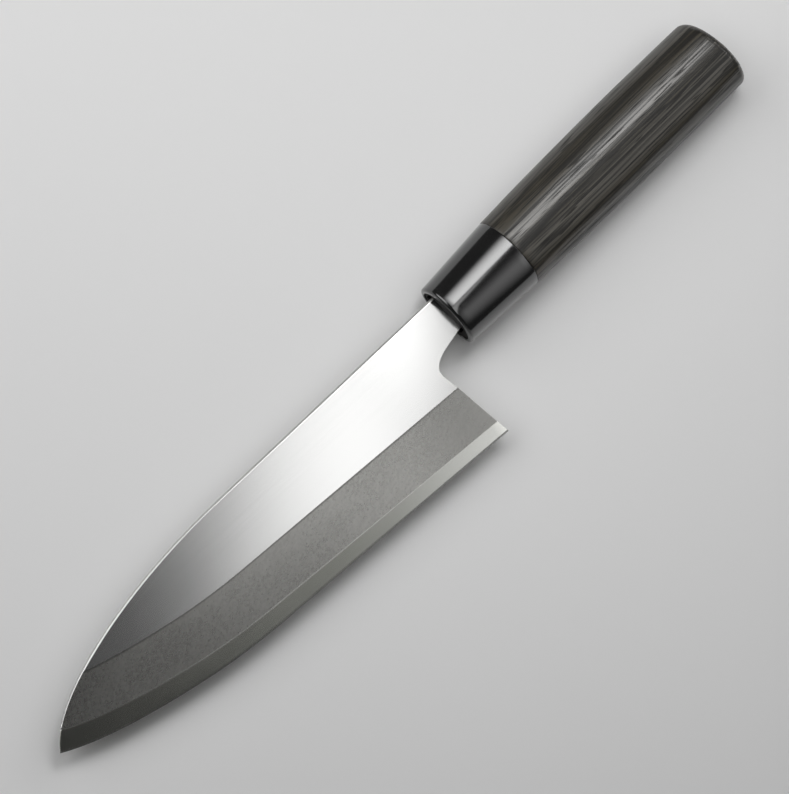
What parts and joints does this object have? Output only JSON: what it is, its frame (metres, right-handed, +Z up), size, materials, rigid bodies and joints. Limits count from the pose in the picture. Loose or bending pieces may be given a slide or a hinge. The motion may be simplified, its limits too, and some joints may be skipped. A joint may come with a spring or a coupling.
{
  "type": "kitchen knife",
  "caption": "Single-bevel kitchen knife with a laminated steel blade, a black collar and a dark wooden D-section handle.",
  "frame": {"origin": "middle of the knife's box, on the surface that it lies on", "axes": "+X from the tip to the butt, +Y from the edge to the spine, +Z up, out of the bevelled side"},
  "size_m": [0.324, 0.0568, 0.0205],
  "materials": {
    "cladding_steel": "satin above the bevel, matt on the bevel",
    "edge_steel": "polished",
    "black_collar": "gloss",
    "dark_wood": "satin, open grain",
    "resin": "matt"
  },
  "bodies": {
    "root": {"blade_cladding": "cladding_steel", "edge_steel": "edge_steel", "ferrule": "black_collar", "handle": "dark_wood", "tang_resin": "resin"}
  },
  "joints": []
}
